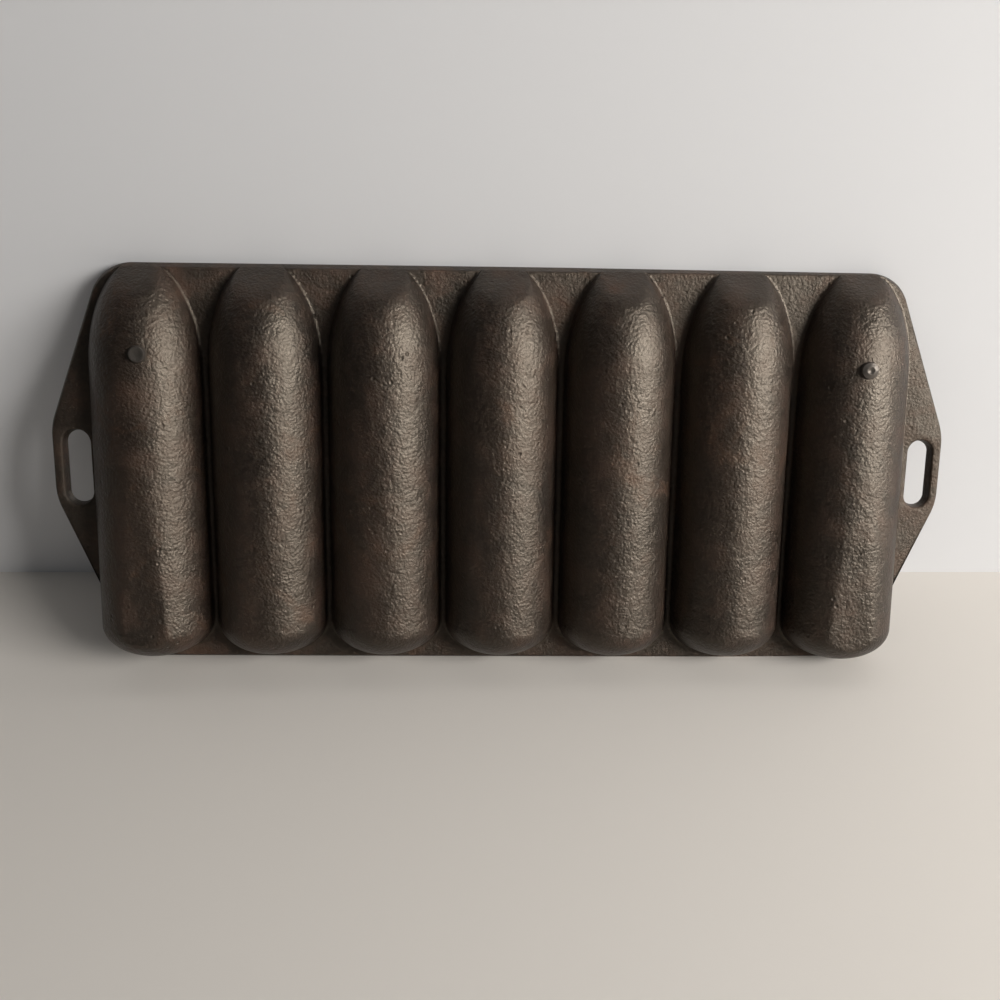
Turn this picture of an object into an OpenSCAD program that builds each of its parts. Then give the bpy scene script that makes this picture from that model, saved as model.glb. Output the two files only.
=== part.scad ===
// Seven-stick corn stick pan in cast iron, lying as it is used:
// the cavities open upwards, the round backs of the cups face down.
// Origin: on the resting plane, below the middle of the pan.
// +X runs along the pan to the right-hand handle, +Y runs from the
// pointed tips of the sticks to their blunt ends, +Z is up.

/* [Overall size] */
// Length over both handles, at the top face
pan_l = 337; // [333:0.5:341]
// Width across the pan, at the top face
pan_w = 150.6; // [150:0.2:153]
// Height of the top face above the resting plane
rim_z = 24; // [23.6:0.1:25]
// Thickness of the web, the rim and the handles
plate_t = 4.8; // [4.4:0.1:5.2]
// How much wider the top face is than the underside, on each side
edge_draft = 1.8; // [0.6:0.1:2.2]

/* [Outline] */
// Corner radius at the tip end, at the underside
corner_r_tip = 15; // [10:0.5:18]
// Corner radius at the blunt end, at the underside
corner_r_butt = 15; // [10:0.5:18]
// Distance from the middle to the tip-end corners' centres
corner_x_tip = 134.6; // [132:0.1:137]
// Distance from the middle to the blunt-end corners' centres
corner_x_butt = 130.8; // [128:0.1:133]
// Radius of the two rounded ends of each handle
lug_r = 22; // [16:1:26]
// Position of a handle's tip-side rounding
lug_y_tip = -11; // [-14:0.5:-6]
// Position of a handle's other rounding
lug_y_butt = 7; // [4:0.5:10]

/* [Sticks] */
// Distance from one stick to the next
pitch = 43.5; // [43.3:0.1:44]
// Outer radius of a cup
cup_r = 20.6; // [20.2:0.1:20.6]
// Length over which a cup's outside narrows to its tip
cup_tip_l = 39; // [34:1:42]
// Length over which a cup's outside rounds at its blunt end
cup_butt_l = 13; // [11:0.5:16]
// Gap between a cup's blunt end and the edge of the underside
butt_gap = 1.8; // [1.4:0.1:3]
// Height of the inner cups' axis at mid-length
cup_axis_z = 21.6; // [21.4:0.1:22]
// Height of the two end cups' axis at mid-length
end_axis_z = 21; // [20.9:0.1:21.2]
// Slope of the two end cups' axis, in degrees
end_slope = 2; // [1.8:0.1:2.1]
// Slant of the cups' tip faces away from the edge, in degrees
tip_slant = 38; // [30:1:42]

/* [Cavities] */
// Radius of a cavity at the middle of a kernel
cavity_r = 17.5; // [17:0.1:17.6]
// Height of the cavities' axis
cavity_z = 21.4; // [21.3:0.1:21.6]
// Where a cavity's tip begins
cavity_y0 = -69.8; // [-70:0.1:-68]
// Where a cavity's blunt end finishes
cavity_y1 = 68.2; // [66:0.1:68.4]
// Length over which a cavity narrows to its tip
cavity_tip_l = 36; // [34:1:38]
// Length over which a cavity rounds at its blunt end
cavity_butt_l = 11; // [9:0.5:12]
// Kernels along one stick
kernels = 22; // [20:1:24]
// Depth of a kernel below the ridges around it
relief = 0.8; // [0.5:0.1:0.9]
// Angle from one row of kernels to the next
row_angle = 20; // [20, 22.5]
// Thickness of the ridge between two rows
ridge_t = 1.0; // [0.8:0.1:1.2]
// Thickness of a cup's wall where it passes through the web
collar_t = 2; // [1.6:0.1:2.2]

/* [Hang slots] */
// Width of the left slot at the underside
slot_w_left = 10.4; // [9:0.1:10.6]
// Length of the left slot at the underside
slot_l_left = 28.6; // [24:0.2:30]
// Distance of the left slot from the middle
slot_x_left = 157.9; // [157.8:0.1:158.4]
// Width of the right slot at the underside
slot_w_right = 9.4; // [9:0.1:10.4]
// Length of the right slot at the underside
slot_l_right = 26; // [24:0.2:30]
// Distance of the right slot from the middle
slot_x_right = 158.8; // [158:0.1:159]
// How much narrower a slot is at the top face, on each side
slot_draft = 0.8; // [0.2:0.1:1]

/* [Peg feet] */
// Radius of a peg
peg_r = 3.1; // [2.6:0.1:3.5]
// Distance of the left peg from the middle
peg_x_left = 127.6; // [126:0.1:131]
// Position of the left peg along its cup
peg_y_left = -43; // [-45:0.5:-38]
// Distance of the right peg from the middle
peg_x_right = 130; // [126:0.1:132]
// Position of the right peg along its cup
peg_y_right = -40; // [-45:0.5:-38]
// Radius of the worn flat on the left peg
peg_flat_left = 2.3; // [1:0.1:2.4]
// Radius of the worn flat on the right peg
peg_flat_right = 1.3; // [1:0.1:2.4]

/* [Hidden] */

iron = [0.13, 0.11, 0.10];
iron_web = [0.19, 0.15, 0.14];
iron_peg = [0.36, 0.34, 0.32];

sticks = 7;
under_z = rim_z - plate_t;            // underside of the web, rim and handles
half_l = pan_l / 2 - edge_draft;      // half length at the underside
half_w = pan_w / 2 - edge_draft;      // half width at the underside
cup_y0 = -half_w - 3.2;               // where a cup's outside would come to a point
cup_y1 = half_w - butt_gap;           // blunt end of a cup's outside
lug_x = 151.2;                        // where the handles join the web plate
inner_slope = 0.35;                   // slope of the inner cups' axis, degrees
row_count = 9;                        // kernel rows seen across a cavity

// quarter ellipse: 0 at s = 0, 1 at s = l and beyond
function ease(s, l) = s >= l ? 1 : (s <= 0 ? 0 : sqrt(1 - pow(1 - s / l, 2)));

// outer radius of a cup at position y
function cup_rad(y) = cup_r * min(ease(y - cup_y0, cup_tip_l), ease(cup_y1 - y, cup_butt_l));

// places along the outside where its profile has a point: close together at the ends
cup_ys = concat(
    [for (i = [0:15]) cup_y0 + cup_tip_l * (1 - cos(90 * i / 15))],
    [for (i = [0:9]) cup_y1 - cup_butt_l * (1 - sin(90 * i / 9))]);

// smooth radius of a cavity at position y, before the kernels
function cav_rad(y) = cavity_r * min(ease(y - cavity_y0, cavity_tip_l), ease(cavity_y1 - y, cavity_butt_l));

// kernel courses: u = 0 is a ridge and u = 0.5 the middle of a kernel; the
// first and the last stretch are the smooth end caps
cav_l = cavity_y1 - cavity_y0;
cap_l = 2.4;
course = (cav_l - 2 * cap_l) / kernels;
us = [0, 0.28, 0.72];
cav_ys = concat([cavity_y0 + 0.25, cavity_y0 + 0.9],
    [for (k = [0:kernels - 1], u = us) cavity_y0 + cap_l + course * (k + u)],
    [cavity_y1 - cap_l, cavity_y1 - 0.9, cavity_y1 - 0.25]);
// radius of a cavity at position number i: smaller on a ridge than in a kernel
function kernel_rad(i) = cav_rad(cav_ys[i]) -
    ((i < 2 || i > len(cav_ys) - 4 || (i - 2) % 3 == 0) ? relief : 0.12 * relief);
cav_pts = [for (i = [0:len(cav_ys) - 1]) [max(kernel_rad(i), 0.3), cav_ys[i]]];

// solid of revolution about an axis along Y, through the origin
module along_y(pts) {
    rotate([-90, 0, 0]) rotate_extrude($fn = 72) polygon(pts);
}

// solid outer shape of a cup, before it is hollowed: axis height at y = 0 and slope
module cup_body(axis_z, slope) {
    translate([0, 0, axis_z]) rotate([-slope, 0, 0])
        along_y(concat([[0, cup_y0]],
            [for (i = [1:len(cup_ys) - 2]) [cup_rad(cup_ys[i]), cup_ys[i]]],
            [[0, cup_y1]]));
}

// ear of corn that hollows a cup: courses of kernels round the axis, drawn
// straight up to above the top face, and split into rows by straight ridges
module cob() {
    core = concat([[0, cavity_y0 + 1]],
        [for (i = [2:3:len(cav_ys) - 2]) let (y = cav_ys[i]) [max(cav_rad(y) - relief, 0.2), y]],
        [[0, cavity_y1 - 1]]);
    translate([0, 0, cavity_z]) difference() {
        union() {
            along_y(concat([[0, cavity_y0 + 0.25]], cav_pts, [[0, cavity_y1 - 0.25]]));
            linear_extrude(rim_z - cavity_z + 1) polygon(mirrored(cav_pts));
        }
        difference() {
            for (i = [0:row_count - 2])
                rotate([0, (i - (row_count - 2) / 2) * row_angle, 0])
                    translate([-ridge_t / 2, cavity_y0 - 1, -cavity_r - 2])
                        cube([ridge_t, cav_l + 2, cavity_r + 2]);
            along_y(core);
        }
    }
}

// outline that runs up one side through the points and back down the other
function mirrored(pts) = concat(pts, [for (i = [len(pts) - 1:-1:0]) [-pts[i][0], pts[i][1]]]);

// wall round a cavity where it passes through the web plate
function collar_rad(y) = (cavity_r + collar_t) *
    min(ease(y - cavity_y0 + collar_t, cavity_tip_l + collar_t),
        ease(cavity_y1 + collar_t - y, cavity_butt_l + collar_t));
collar_ys = concat(
    [for (i = [1:12]) cavity_y0 - collar_t + (cavity_tip_l + collar_t) * (1 - cos(90 * i / 12))],
    [for (i = [0:7]) cavity_y1 + collar_t - (cavity_butt_l + collar_t) * (1 - sin(90 * i / 8))]);
module collar() {
    translate([0, 0, under_z]) linear_extrude(plate_t)
        polygon(mirrored([for (y = collar_ys) [collar_rad(y), y]]));
}

function is_end(i) = i == 0 || i == sticks - 1;
function stick_x(i) = (i - (sticks - 1) / 2) * pitch;

// outside of one cup, trimmed to lie below the web, above the resting plane
// and behind its slanted tip face
module cup_outside(i) {
    difference() {
        if (is_end(i)) cup_body(end_axis_z, end_slope);
        else cup_body(cup_axis_z, inner_slope);
        translate([-40, -120, under_z]) cube([80, 240, 60]);
        translate([-40, -120, -60]) cube([80, 240, 60]);
        translate([0, -half_w, under_z]) rotate([tip_slant, 0, 0])
            translate([-40, -60, -90]) cube([80, 60, 150]);
    }
}

// one cup of the casting
module mould_cup(i) {
    color(iron) translate([stick_x(i), 0, 0]) difference() {
        union() {
            cup_outside(i);
            collar();
        }
        cob();
    }
}

// full outline of the web plate with both handles, drafted all round
module outline() {
    hull() {
        for (s = [-1, 1]) {
            translate([s * corner_x_tip, -half_w + corner_r_tip, under_z])
                cylinder(r1 = corner_r_tip, r2 = corner_r_tip + edge_draft, h = plate_t, $fn = 48);
            translate([s * corner_x_butt, half_w - corner_r_butt, under_z])
                cylinder(r1 = corner_r_butt, r2 = corner_r_butt + edge_draft, h = plate_t, $fn = 48);
            for (y = [lug_y_tip, lug_y_butt])
                translate([s * (half_l - lug_r), y, under_z])
                    cylinder(r1 = lug_r, r2 = lug_r + edge_draft, h = plate_t, $fn = 72);
        }
    }
}

// hole in the web plate that a cup's collar fills
module collar_hole() {
    translate([0, 0, under_z - 1]) linear_extrude(plate_t + 2)
        polygon(mirrored([for (y = collar_ys) [collar_rad(y), y]]));
}

// flat web and rim that join the seven cups
module web_plate() {
    color(iron_web) difference() {
        intersection() {
            outline();
            translate([-lug_x, -100, under_z - 1]) cube([2 * lug_x, 200, plate_t + 2]);
        }
        for (i = [0:sticks - 1]) translate([stick_x(i), 0, 0]) collar_hole();
    }
}

// drafted stadium slot, long side along Y, wider at the underside
module slot(w, l) {
    a = (l - w) / 2;
    k = slot_draft / plate_t;
    for (s = [-1, 1]) translate([0, s * a, under_z - 1])
        cylinder(r1 = w / 2 + k, r2 = w / 2 - slot_draft - k, h = plate_t + 2, $fn = 64);
    translate([0, a, under_z - 1]) rotate([90, 0, 0]) linear_extrude(2 * a)
        polygon([[-w / 2 - k, 0], [w / 2 + k, 0],
                 [w / 2 - slot_draft - k, plate_t + 2], [-w / 2 + slot_draft + k, plate_t + 2]]);
}

// end lug with its hang slot: side is -1 on the left, 1 on the right
module handle(side, slot_x, slot_w, slot_l) {
    color(iron_web) difference() {
        intersection() {
            outline();
            translate([side > 0 ? lug_x : -lug_x - 60, -100, under_z - 1]) cube([60, 200, plate_t + 2]);
        }
        translate([side * slot_x, 0, 0]) slot(slot_w, slot_l);
    }
}

// short cast peg that levels the tip end, seated on the round back of a cup
module peg(x, y, flat_r, end_cup) {
    color(iron_peg) difference() {
        translate([x, y, 0]) rotate_extrude($fn = 48)
            polygon([[0, 0], [flat_r, 0],
                     [flat_r + (peg_r - flat_r) * 0.55, 0.3],
                     [flat_r + (peg_r - flat_r) * 0.88, 0.8],
                     [peg_r, 1.5], [peg_r, 5], [0, 5]]);
        translate([stick_x(end_cup), 0, 0]) cup_body(end_axis_z, end_slope);
    }
}

module mould_cup_1() mould_cup(0);
module mould_cup_2() mould_cup(1);
module mould_cup_3() mould_cup(2);
module mould_cup_4() mould_cup(3);
module mould_cup_5() mould_cup(4);
module mould_cup_6() mould_cup(5);
module mould_cup_7() mould_cup(6);
module handle_left() handle(-1, slot_x_left, slot_w_left, slot_l_left);
module handle_right() handle(1, slot_x_right, slot_w_right, slot_l_right);
module peg_foot_left() peg(-peg_x_left, peg_y_left, peg_flat_left, 0);
module peg_foot_right() peg(peg_x_right, peg_y_right, peg_flat_right, 6);

web_plate();
mould_cup_1();
mould_cup_2();
mould_cup_3();
mould_cup_4();
mould_cup_5();
mould_cup_6();
mould_cup_7();
handle_left();
handle_right();
peg_foot_left();
peg_foot_right();
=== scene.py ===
import math

import bpy
import bmesh
import numpy as np
from mathutils import Matrix, Vector
from mathutils.geometry import tessellate_polygon


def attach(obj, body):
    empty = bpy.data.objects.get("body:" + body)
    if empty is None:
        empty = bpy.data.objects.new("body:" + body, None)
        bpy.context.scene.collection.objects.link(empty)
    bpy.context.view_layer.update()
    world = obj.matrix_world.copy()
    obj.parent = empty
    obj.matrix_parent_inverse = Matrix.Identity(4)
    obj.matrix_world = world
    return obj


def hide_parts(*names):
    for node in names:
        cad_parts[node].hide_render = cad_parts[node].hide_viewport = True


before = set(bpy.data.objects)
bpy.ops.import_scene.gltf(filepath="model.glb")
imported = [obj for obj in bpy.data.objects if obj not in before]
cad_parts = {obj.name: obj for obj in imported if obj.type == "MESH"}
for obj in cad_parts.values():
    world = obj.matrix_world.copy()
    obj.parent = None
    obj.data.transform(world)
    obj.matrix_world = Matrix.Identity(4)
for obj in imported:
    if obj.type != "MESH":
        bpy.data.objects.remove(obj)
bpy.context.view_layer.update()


# Lengths below are in millimetres and are turned into metres when a mesh is made.
MM = 0.001
RIM, UNDER = 24.0, 19.2
PITCH = 43.5
FILLET = 1.35


# ---------------------------------------------------------------- camera
R = np.array([[0.99970949, -0.01183759, -0.0209955],
              [0.00753704, 0.98093549, -0.19418744],
              [0.02289395, 0.19397278, 0.98073973]])
T = np.array([0.348775, -11.031457, 377.242569])
T = T - R @ np.array([0, 0, UNDER])      # from the fit's frame to the part's frame
EYE = -R.T @ T
PHI = 0.5641013

cam_data = bpy.data.cameras.new("camera")
cam_data.sensor_width = 36
cam_data.lens = 36 * 1.0016
cam_data.clip_start = 0.01
cam_data.clip_end = 20
cam = bpy.data.objects.new("camera", cam_data)
bpy.context.scene.collection.objects.link(cam)
m = Matrix.Identity(4)
for k, col in enumerate((R[0], -R[1], -R[2])):
    for j in range(3):
        m[j][k] = float(col[j])
for j in range(3):
    m[j][3] = float(EYE[j] * MM)
cam.matrix_world = m
bpy.context.scene.camera = cam


# ---------------------------------------------------------------- mesh helpers
class Skin:
    """Collects points and faces of one closed piece."""

    def __init__(self):
        self.pts, self.faces, self.n = [], [], 0

    def add(self, pts):
        pts = np.asarray(pts, float).reshape(-1, 3)
        start = self.n
        self.pts.append(pts)
        self.n += len(pts)
        return np.arange(start, self.n)

    def grid(self, ids, flip=False):
        a, b, c, d = ids[:-1, :-1], ids[:-1, 1:], ids[1:, 1:], ids[1:, :-1]
        q = np.stack([a, b, c, d], -1).reshape(-1, 4)
        if flip:
            q = q[:, ::-1]
        self.faces.extend(q.tolist())

    def band(self, lo, hi, flip=False):
        """Quads between two closed loops of equal length."""
        lo2, hi2 = np.append(lo, lo[0]), np.append(hi, hi[0])
        self.grid(np.stack([lo2, hi2]), flip)

    def plane(self, loops, ids, flip=False):
        """Triangles between an outer loop and the holes in it."""
        tri = tessellate_polygon([[Vector((float(p[0]), float(p[1]), 0)) for p in l] for l in loops])
        flat = np.concatenate(ids)
        allp = np.concatenate([np.asarray(l)[:, :2] for l in loops])
        for t in tri:
            p = allp[list(t)]
            area = (p[1, 0] - p[0, 0]) * (p[2, 1] - p[0, 1]) - (p[1, 1] - p[0, 1]) * (p[2, 0] - p[0, 0])
            t = [int(flat[k]) for k in t]
            if (area < 0) != flip:
                t.reverse()
            self.faces.append(t)

    def piece(self, name, *nodes, slot, smooth=True):
        me = bpy.data.meshes.new(name)
        me.from_pydata((np.concatenate(self.pts) * MM).tolist(), [], self.faces)
        bm = bmesh.new()
        bm.from_mesh(me)
        bmesh.ops.remove_doubles(bm, verts=bm.verts, dist=2e-6)
        bmesh.ops.dissolve_degenerate(bm, dist=1e-6, edges=bm.edges)
        bmesh.ops.recalc_face_normals(bm, faces=bm.faces)
        bm.to_mesh(me)
        bm.free()
        return place(name, me, nodes, smooth)


def place(name, me, nodes, smooth=True):
    for p in me.polygons:
        p.use_smooth = smooth
    ob = bpy.data.objects.new(name, me)
    bpy.context.scene.collection.objects.link(ob)
    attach(ob, "root")
    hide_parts(*nodes)
    return ob


def ease(s, l):
    t = np.clip(np.asarray(s, float) / l, 0, 1)
    return np.sqrt(np.maximum(1 - (1 - t) ** 2, 0))


def smin(a, b, k):
    h = np.clip(0.5 + 0.5 * (b - a) / k, 0, 1)
    return b * (1 - h) + a * h - k * h * (1 - h)


def loop_normals(p):
    """Outward unit normals in plan of a closed loop that runs anticlockwise."""
    d = np.roll(p, -1, 0) - np.roll(p, 1, 0)
    n = np.stack([d[:, 1], -d[:, 0]], 1)
    return n / np.maximum(np.linalg.norm(n, axis=1, keepdims=True), 1e-9)


def closed_loop(half, y):
    """Anticlockwise loop in plan of a shape whose half-width is half at each y, rising."""
    right = np.stack([half, y], 1)
    left = np.stack([-half, y], 1)[::-1]
    if half[-1] < 1e-6:
        left = left[1:]
    if half[0] < 1e-6:
        left = left[:-1]
    return np.concatenate([right, left])


# ---------------------------------------------------------------- the seven cups
def axis_z(y, end):
    return (21.0 - math.tan(math.radians(2)) * y) if end else (21.6 - math.tan(math.radians(0.35)) * y)


def lobe_r(y):
    return 20.6 * np.minimum(ease(y + 76.7, 39), ease(71.7 - y, 13))


def fillet_at(y):
    return np.minimum(FILLET, 0.75 * (y + 73.5))


def spaced(lo, hi, step):
    return np.linspace(lo, hi, max(2, int(round((hi - lo) / step)) + 1))


def cup(i):
    x0 = (i - 4) * PITCH
    end = i in (1, 7)
    s = Skin()
    # The lobe's outer face: rows along the cob, columns round it.
    tip = spaced(-73.5, -58, 0.45)
    mid = spaced(-58, 58.7, 1.05)[1:]
    phi = np.linspace(0, math.pi / 2, 46)[1:]
    butt = 58.7 + 13 * np.sin(phi)
    y = np.concatenate([tip, mid, butt])
    keep = lobe_r(y) > axis_z(y, end) - UNDER + fillet_at(y) + 0.02
    y = y[keep]
    # the last row closes to a point, where the wall meets the fillet
    lo, hi = y[-1], 71.7
    for _ in range(60):
        c = (lo + hi) / 2
        if lobe_r(c) > axis_z(c, end) - UNDER + FILLET:
            lo = c
        else:
            hi = c
    y = np.append(y, lo)
    r = lobe_r(y)
    a = axis_z(y, end) - UNDER
    rf = fillet_at(y)
    th = np.arccos(np.clip((a + rf) / np.maximum(r, 1e-6), -1, 1))
    th[-1] = 0
    p = np.linspace(-1, 1, 97)
    p = np.sign(p) * np.abs(p) ** 0.92
    ang = th[:, None] * p[None, :]
    X = r[:, None] * np.sin(ang)
    D = r[:, None] * np.cos(ang) - a[:, None]
    Y = np.repeat(y[:, None], len(p), 1)
    cut = (y + 73.5)[:, None] / math.tan(math.radians(38)) + 0 * X
    inner = np.abs(p)[None, :] + 0 * X
    kk = 3.0 * np.clip(1 - inner ** 8, 0.05, 1) * np.clip((y[:, None] + 73.5) / 3, 0.02, 1)
    D = smin(D, cut, kk)
    D = np.maximum(D, 0)
    Z = UNDER - D
    if end:
        Z = -smin(-Z, 0 * Z, 0.5)
    edge = np.abs(p) > 0.999
    grid = s.add(np.stack([X + x0, Y, Z], -1)).reshape(len(y), len(p))
    s.grid(grid)
    # The loop at the foot of the wall, and the fillet that runs out onto the web.
    right, left = grid[:, -1], grid[:, 0]
    tiprow = grid[0]
    loop = np.concatenate([tiprow[:-1], right[:-1], grid[-1, -1:], left[:-1][::-1][:-1]])
    P = np.concatenate(s.pts)[loop]
    rfl = np.concatenate([0 * tiprow[:-1], rf[:-1], rf[-1:], rf[:-1][::-1][:-1]])
    rfl[:len(tiprow)] = 0
    nrm = loop_normals(P[:, :2])
    prev = loop
    for b in np.linspace(0, math.pi / 2, 8)[1:]:
        off = rfl * (1 - math.cos(b))
        dep = (UNDER - P[:, 2]) * (1 - math.sin(b))
        q = np.stack([P[:, 0] + nrm[:, 0] * off, P[:, 1] + nrm[:, 1] * off, UNDER - dep], 1)
        q[:, 1] = np.maximum(q[:, 1], -73.5)
        cur = s.add(q)
        s.band(prev, cur)
        prev = cur
    outer = np.concatenate(s.pts)[prev]
    # The collar that passes up through the web.
    yc = np.concatenate([-71.8 + 38 * (1 - np.cos(np.linspace(0, math.pi / 2, 60))), spaced(-33.8, 57.2, 3)[1:-1],
                         57.2 + 13 * np.sin(np.linspace(0, math.pi / 2, 40))])
    half = 19.5 * np.minimum(ease(yc + 71.8, 38), ease(70.2 - yc, 13))
    half[0] = half[-1] = 0
    cl = closed_loop(half, yc)
    cl[:, 0] += x0
    low = s.add(np.column_stack([cl, np.full(len(cl), UNDER)]))
    top = s.add(np.column_stack([cl, np.full(len(cl), RIM)]))
    s.plane([outer, cl], [prev, low])
    s.band(low, top)
    # The cavity: half a cob with its kernels, then a straight wall up to a rounded lip.
    rows, cap = 22, 2.4
    course = (138 - 2 * cap) / rows
    u = np.concatenate([np.array([0, 0.25, 0.6, 1.0, 1.5, 2.0]), cap + course * np.arange(0, rows + 1e-9, 1 / 10.0),
                        138 - np.array([2.0, 1.5, 1.0, 0.6, 0.25, 0])])
    yk = -69.8 + u
    rk = 17.5 * np.minimum(ease(yk + 69.8, 36), ease(68.2 - yk, 11))
    rk[0] = rk[-1] = 0
    tk = np.radians(np.linspace(-90, 90, 9 * 10 + 1))
    fu = (u - cap) / course
    inside = (fu >= 0) & (fu <= rows)
    fu = np.where(inside, fu % 1.0, 0.5)
    fv = ((np.degrees(tk) + 90) / 20) % 1.0
    pu = np.clip(1 - np.abs(2 * fu - 1) ** 3.2, 0, 1)
    pv = np.clip(1 - np.abs(2 * fv - 1) ** 3.2, 0, 1)
    pil = np.sqrt(pu[:, None] * pv[None, :])
    fade = np.clip(rk / 9.0, 0, 1)[:, None] * np.where(inside, 1.0, 0.0)[:, None]
    rr = rk[:, None] - 0.85 * (1 - pil) * fade
    edge_fade = np.clip((90 - np.abs(np.degrees(tk))) / 4, 0, 1)[None, :]
    rr = rk[:, None] * (1 - edge_fade) + rr * edge_fade
    CX = rr * np.sin(tk)[None, :]
    CZ = 21.4 - rr * np.cos(tk)[None, :]
    cav = s.add(np.stack([CX + x0, np.repeat(yk[:, None], len(tk), 1), CZ], -1)).reshape(len(yk), len(tk))
    s.grid(cav, flip=True)
    ml = np.concatenate([cav[:, -1], cav[:-1, 0][::-1][:-1]])
    MP = np.concatenate(s.pts)[ml]
    mn = loop_normals(MP[:, :2])
    mn[0] = (0, -1)
    prev = ml
    for off, z in ((0, 22.2), (0, 23.1), (0.06, 23.4), (0.22, 23.7), (0.45, 23.9), (0.75, RIM)):
        q = np.column_stack([MP[:, 0] + mn[:, 0] * off, MP[:, 1] + mn[:, 1] * off, np.full(len(MP), z)])
        cur = s.add(q)
        s.band(prev, cur)
        prev = cur
    s.plane([cl, q[:, :2]], [top, prev])
    return s.piece(f"corn_cup_{i}", f"mould_cup_{i}", slot="iron_cups")


# ---------------------------------------------------------------- the web and the handles
CIRCLES = [(s * 134.6, -58.5, 15.0) for s in (-1, 1)] + [(s * 130.8, 58.5, 15.0) for s in (-1, 1)] \
    + [(s * 144.7, yy, 22.0) for s in (-1, 1) for yy in (-11.0, 7.0)]


def outline(off):
    a = np.linspace(0, 2 * math.pi, 361)[:-1]
    d = np.stack([np.cos(a), np.sin(a)], 1)
    c = np.array([(x, y) for x, y, _ in CIRCLES])
    r = np.array([q for _, _, q in CIRCLES])
    best = np.argmax(c @ d.T + r[:, None], 0)
    return c[best] + (r[best] + off)[:, None] * d


def stadium(cx, w, l, off):
    r = w / 2 + off
    a = np.linspace(0, math.pi, 33)
    top = np.stack([cx + r * np.cos(a), (l - w) / 2 + r * np.sin(a)], 1)
    bot = np.stack([cx - r * np.cos(a), -(l - w) / 2 - r * np.sin(a)], 1)
    return np.concatenate([top, bot])


def flange():
    s = Skin()
    prof = [(-0.9, 19.2), (-0.45, 19.3), (-0.1, 19.6), (0.12, 20.1), (0.6, 21.2), (1.1, 22.4), (1.45, 23.2), (1.5, 23.55), (1.35, 23.82), (0.95, 24.0)]
    ids, first = None, None
    for off, z in prof:
        q = outline(off)
        cur = s.add(np.column_stack([q, np.full(len(q), z)]))
        if ids is None:
            first, first_p = cur, q
        else:
            s.band(ids, cur)
        ids, last_p = cur, q
    holes_low, holes_top = [], []
    for i in range(1, 8):
        x0 = (i - 4) * PITCH
        yc = np.concatenate([-71.8 + 38 * (1 - np.cos(np.linspace(0, math.pi / 2, 60))), spaced(-33.8, 57.2, 3)[1:-1],
                             57.2 + 13 * np.sin(np.linspace(0, math.pi / 2, 40))])
        half = 19.5 * np.minimum(ease(yc + 71.8, 38), ease(70.2 - yc, 13))
        half[0] = half[-1] = 0
        cl = closed_loop(half, yc)
        cl[:, 0] += x0
        lo = s.add(np.column_stack([cl, np.full(len(cl), UNDER)]))
        hi = s.add(np.column_stack([cl, np.full(len(cl), RIM)]))
        s.band(lo, hi, True)
        holes_low.append((cl, lo))
        holes_top.append((cl, hi))
    for cx, w, l in ((-157.9, 10.4, 28.6), (158.8, 9.4, 26.0)):
        ids2 = None
        for off, z in ((0.7, 19.2), (0.35, 19.3), (0.1, 19.55), (-0.05, 20.0), (-0.6, 22.6), (-0.65, 23.3), (-0.45, 23.75), (0.0, 24.0)):
            q = stadium(cx, w, l, off)
            cur = s.add(np.column_stack([q, np.full(len(q), z)]))
            if ids2 is None:
                holes_low.append((q, cur))
            else:
                s.band(ids2, cur, True)
            ids2 = cur
        holes_top.append((q, ids2))
    s.plane([last_p] + [h[0] for h in holes_top], [ids] + [h[1] for h in holes_top])
    s.plane([first_p] + [h[0] for h in holes_low], [first] + [h[1] for h in holes_low], True)
    me = bpy.data.meshes.new("flange")
    me.from_pydata((np.concatenate(s.pts) * MM).tolist(), [], s.faces)
    out = []
    for name, node, lo, hi in (("web", "web_plate", -151.2, 151.2), ("lug_left", "handle_left", None, -151.2), ("lug_right", "handle_right", 151.2, None)):
        bm = bmesh.new()
        bm.from_mesh(me)
        bmesh.ops.recalc_face_normals(bm, faces=bm.faces)
        for x, side in ((lo, 1), (hi, -1)):
            if x is None:
                continue
            g = bmesh.ops.bisect_plane(bm, geom=bm.verts[:] + bm.edges[:] + bm.faces[:], dist=1e-7, plane_co=(x * MM, 0, 0),
                                       plane_no=(-side, 0, 0), clear_outer=True, clear_inner=False)
            cut = [e for e in g["geom_cut"] if isinstance(e, bmesh.types.BMEdge)]
            bmesh.ops.triangle_fill(bm, edges=cut, use_beauty=True)
        bmesh.ops.recalc_face_normals(bm, faces=bm.faces)
        me2 = bpy.data.meshes.new(name)
        bm.to_mesh(me2)
        bm.free()
        ob = place(name, me2, [node])
        out.append(ob)
    bpy.data.meshes.remove(me)
    return out


def peg(name, node, cx, cy, flat_r, top):
    s = Skin()
    prof = [(0.0, 0.35), (flat_r * 0.55, 0.28), (flat_r * 0.85, 0.08), (flat_r, 0.02), (flat_r + 0.35, 0.08), (2.85, 0.55), (3.05, 1.0), (3.1, 1.6), (3.1, top)]
    a = np.linspace(0, 2 * math.pi, 49)[:-1]
    prev = None
    for r, z in prof:
        q = np.column_stack([cx + max(r, 1e-5) * np.cos(a), cy + max(r, 1e-5) * np.sin(a), np.full(len(a), z)])
        cur = s.add(q)
        if prev is not None:
            s.band(prev, cur)
        prev = cur
    s.faces.append(prev.tolist())
    return s.piece(name, node, slot="iron_worn")


cups = [cup(i) for i in range(1, 8)]
web, lug_l, lug_r = flange()
peg_l = peg("peg_left", "peg_foot_left", -127.6, -43.0, 2.3, 3.2)
peg_r = peg("peg_right", "peg_foot_right", 130.0, -40.0, 1.3, 2.6)
for ob in cups + [web, lug_l, lug_r, peg_l, peg_r]:
    ob.data.set_sharp_from_angle(angle=math.radians(38))


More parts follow.
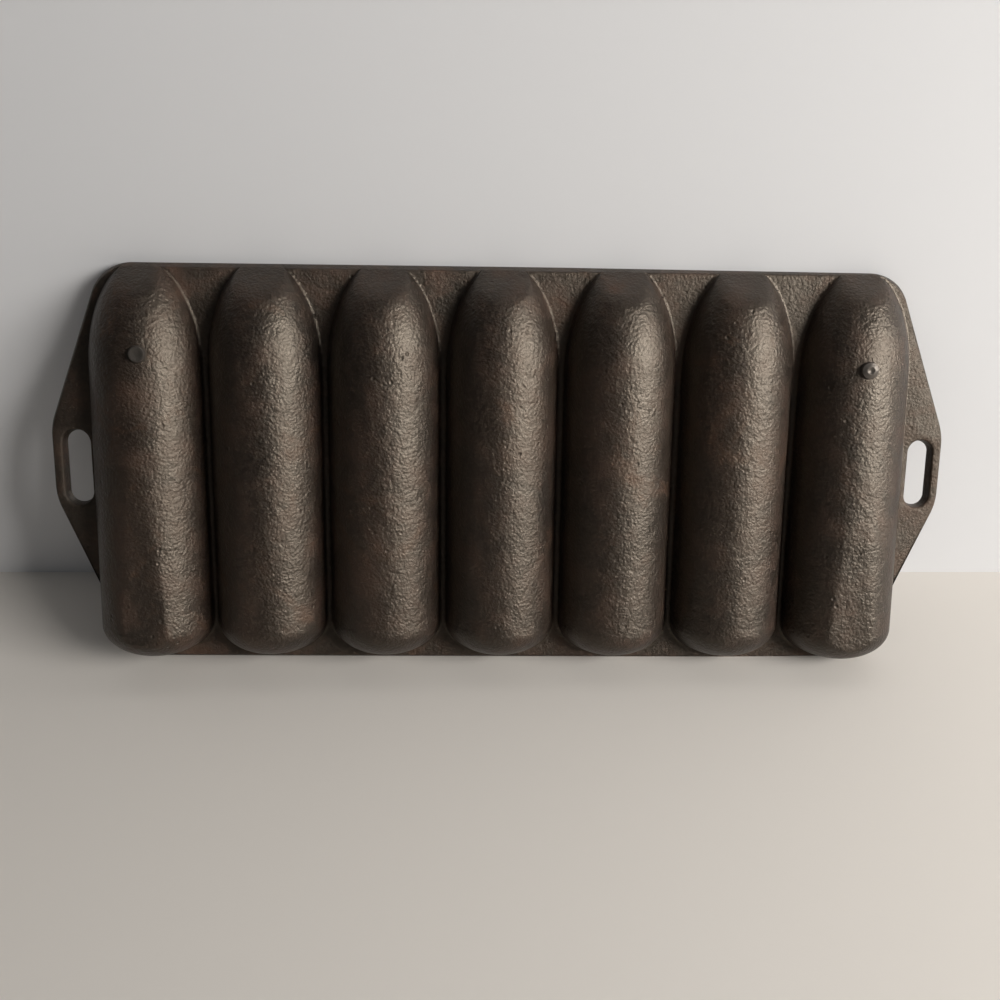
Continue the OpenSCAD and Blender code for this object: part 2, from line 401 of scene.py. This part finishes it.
# ---------------------------------------------------------------- materials
def iron(name, reddish, rough, grain, worn=0.0):
    mat = bpy.data.materials.new(name)
    mat.use_nodes = True
    nt = mat.node_tree
    nt.nodes.clear()
    L = nt.links.new

    def node(kind, **kw):
        n = nt.nodes.new(kind)
        for k, v in kw.items():
            setattr(n, k, v)
        return n

    out = node("ShaderNodeOutputMaterial")
    bs = node("ShaderNodeBsdfPrincipled")
    L(bs.outputs[0], out.inputs[0])
    tc = node("ShaderNodeTexCoord")

    def noise(scale, detail=4, rough_=0.55, dist=0.0):
        n = node("ShaderNodeTexNoise")
        n.inputs["Scale"].default_value = scale
        n.inputs["Detail"].default_value = detail
        n.inputs["Roughness"].default_value = rough_
        n.inputs["Distortion"].default_value = dist
        L(tc.outputs["Object"], n.inputs["Vector"])
        return n.outputs["Fac"]

    def ramp(src, stops):
        n = node("ShaderNodeValToRGB")
        e = n.color_ramp.elements
        while len(e) < len(stops):
            e.new(0.5)
        for k, (pos, col) in enumerate(stops):
            e[k].position = pos
            e[k].color = (*col, 1) if isinstance(col, tuple) else (col, col, col, 1)
        L(src, n.inputs[0])
        return n.outputs[0]

    def mix(fac, a, b, kind="MIX"):
        n = node("ShaderNodeMix", data_type="RGBA", blend_type=kind)
        if isinstance(fac, float):
            n.inputs[0].default_value = fac
        else:
            L(fac, n.inputs[0])
        for sock, v in ((n.inputs[6], a), (n.inputs[7], b)):
            if isinstance(v, tuple):
                sock.default_value = (*v, 1)
            else:
                L(v, sock)
        return n.outputs[2]

    def math_(op, a, b=0.5):
        n = node("ShaderNodeMath", operation=op)
        for sock, v in ((n.inputs[0], a), (n.inputs[1], b)):
            if isinstance(v, (int, float)):
                sock.default_value = v
            else:
                L(v, sock)
        return n.outputs[0]

    big = noise(18, 5, 0.6)
    mid = noise(90, 5, 0.6, 0.3)
    fine = noise(620, 4, 0.65)
    dark, brown, red = (0.0030, 0.0022, 0.0019), (0.012, 0.0078, 0.0056), (0.036, 0.0175, 0.0115)
    base = mix(ramp(big, [(0.32, 0.0), (0.7, 1.0)]), dark, brown)
    base = mix(math_("MULTIPLY", ramp(mid, [(0.45, 0.0), (0.72, 1.0)]), reddish), base, red)
    base = mix(math_("MULTIPLY", ramp(fine, [(0.45, 0.0), (0.75, 1.0)]), 0.35), base, (0.052, 0.038, 0.029))
    # A few rust-tinted patches.
    rust = math_("MULTIPLY", ramp(noise(34, 6, 0.7, 0.6), [(0.58, 0.0), (0.74, 1.0)]), 0.5)
    base = mix(rust, base, (0.060, 0.026, 0.013))
    # Pits are darker.
    vor = node("ShaderNodeTexVoronoi", feature="F1")
    vor.inputs["Scale"].default_value = 260
    vor.inputs["Randomness"].default_value = 1
    L(tc.outputs["Object"], vor.inputs["Vector"])
    pit = ramp(vor.outputs["Distance"], [(0.05, 1.0), (0.22, 0.0)])
    pit = math_("MULTIPLY", pit, ramp(noise(70, 3), [(0.5, 0.0), (0.66, 1.0)]))
    base = mix(math_("MULTIPLY", pit, 0.7), base, (0.003, 0.0022, 0.0018))
    if worn:
        base = mix(worn, base, (0.16, 0.145, 0.13))
    L(base, bs.inputs["Base Color"])
    rg = math_("ADD", math_("MULTIPLY", math_("SUBTRACT", mid, 0.5), 0.35), rough)
    rg = math_("ADD", rg, math_("MULTIPLY", math_("SUBTRACT", fine, 0.5), 0.22))
    rg = math_("ADD", rg, math_("MULTIPLY", rust, 0.35))
    L(rg, bs.inputs["Roughness"])
    bs.inputs["Specular IOR Level"].default_value = 0.55
    bs.inputs["Specular Tint"].default_value = (1.0, 0.86, 0.70, 1)
    bs.inputs["Metallic"].default_value = 0.0 if not worn else 0.55
    # Cast texture: pebbles under a fine grain.
    peb = node("ShaderNodeTexVoronoi", feature="SMOOTH_F1")
    peb.inputs["Scale"].default_value = 900
    peb.inputs["Smoothness"].default_value = 0.7
    L(tc.outputs["Object"], peb.inputs["Vector"])
    hgt = math_("MULTIPLY", peb.outputs["Distance"], -0.55)
    hgt = math_("ADD", hgt, math_("MULTIPLY", noise(1500, 3, 0.6), 0.6))
    hgt = math_("ADD", hgt, math_("MULTIPLY", noise(300, 4, 0.6), 1.1))
    hgt = math_("SUBTRACT", hgt, math_("MULTIPLY", pit, 1.2))
    b1 = node("ShaderNodeBump")
    b1.inputs["Strength"].default_value = grain
    b1.inputs["Distance"].default_value = 0.00030
    L(hgt, b1.inputs["Height"])
    b2 = node("ShaderNodeBump")
    b2.inputs["Strength"].default_value = 0.5
    b2.inputs["Distance"].default_value = 0.0009
    L(noise(85, 3, 0.5), b2.inputs["Height"])
    L(b2.outputs[0], b1.inputs["Normal"])
    L(b1.outputs[0], bs.inputs["Normal"])
    return mat


iron_web = iron("iron_web", 1.0, 0.58, 1.0)
iron_cup = iron("iron_cups", 0.5, 0.43, 0.95)
iron_worn = iron("iron_worn", 0.3, 0.36, 0.3, 0.55)
for ob in cups:
    ob.data.materials.append(iron_cup)
for ob in (web, lug_l, lug_r):
    ob.data.materials.append(iron_web)
for ob in (peg_l, peg_r):
    ob.data.materials.append(iron_worn)


# ---------------------------------------------------------------- table, wall and light
DOWN = R.T @ np.array([0, math.cos(PHI), math.sin(PHI)])
FWD = R.T @ np.array([0, -math.sin(PHI), math.cos(PHI)])
SIDE = R.T @ np.array([1.0, 0, 0])
TABLE, WALL = 262.6, 355.8


def at(side, fwd, down):
    """A point from distances right, forward and down from the camera, in millimetres."""
    return EYE + SIDE * side + FWD * fwd + DOWN * down


def sheet(name, corners, colour):
    me = bpy.data.meshes.new(name)
    me.from_pydata([tuple(float(v) * MM for v in c) for c in corners], [], [(0, 1, 2, 3)])
    ob = bpy.data.objects.new(name, me)
    bpy.context.scene.collection.objects.link(ob)
    mat = bpy.data.materials.new(name)
    mat.use_nodes = True
    nt = mat.node_tree
    bs = nt.nodes["Principled BSDF"]
    bs.inputs["Base Color"].default_value = (*colour, 1)
    bs.inputs["Roughness"].default_value = 0.75
    tr = nt.nodes.new("ShaderNodeBsdfTransparent")
    mx = nt.nodes.new("ShaderNodeMixShader")
    ge = nt.nodes.new("ShaderNodeNewGeometry")
    nt.links.new(ge.outputs["Backfacing"], mx.inputs[0])
    nt.links.new(bs.outputs[0], mx.inputs[1])
    nt.links.new(tr.outputs[0], mx.inputs[2])
    nt.links.new(mx.outputs[0], nt.nodes["Material Output"].inputs[0])
    me.materials.append(mat)
    return ob


sheet("table", [at(-900, -300, TABLE), at(900, -300, TABLE), at(900, WALL, TABLE), at(-900, WALL, TABLE)], (0.74, 0.70, 0.65))
sheet("wall", [at(-900, WALL, TABLE), at(900, WALL, TABLE), at(900, WALL, -700), at(-900, WALL, -700)], (0.72, 0.72, 0.73))

world = bpy.data.worlds.new("world")
world.use_nodes = True
world.node_tree.nodes["Background"].inputs[0].default_value = (0.80, 0.84, 0.90, 1)
world.node_tree.nodes["Background"].inputs[1].default_value = 0.04
wt = world.node_tree
lp = wt.nodes.new("ShaderNodeLightPath")
mr = wt.nodes.new("ShaderNodeMapRange")
mr.inputs["To Min"].default_value = 0.04
mr.inputs["To Max"].default_value = 0.85
wt.links.new(lp.outputs["Is Camera Ray"], mr.inputs["Value"])
wt.links.new(mr.outputs[0], wt.nodes["Background"].inputs[1])
bpy.context.scene.world = world
bpy.context.scene.view_settings.view_transform = "Standard"


def lamp(name, place_, aim, w, h, power, colour=(1, 1, 1)):
    d = bpy.data.lights.new(name, "AREA")
    d.shape = "RECTANGLE"
    d.size, d.size_y = w, h
    d.energy = power
    d.color = colour
    ob = bpy.data.objects.new(name, d)
    bpy.context.scene.collection.objects.link(ob)
    p, q = Vector([float(v) * MM for v in place_]), Vector([float(v) * MM for v in aim])
    ob.matrix_world = Matrix.Translation(p) @ (q - p).to_track_quat("-Z", "Y").to_matrix().to_4x4()
    return ob


mid_pan = np.array([0.0, 0.0, 10.0])
lamp("key", at(960, -330, -300), mid_pan, 0.45, 0.7, 17, (1.0, 0.975, 0.94))
lamp("fill", at(100, -700, -1000), mid_pan, 1.1, 1.1, 1.1, (0.95, 0.98, 1.0))

# Soft light for the cooking side, which faces the wall. It falls only on the pan.
back = lamp("back", (500, -500, 1000), mid_pan, 0.9, 0.9, 6, (1.0, 0.98, 0.95))
taking = bpy.data.collections.new("lit_from_behind")
for ob in cups + [web, lug_l, lug_r]:
    taking.objects.link(ob)
back.light_linking.receiver_collection = taking
bpy.data.objects["wall"].visible_shadow = False
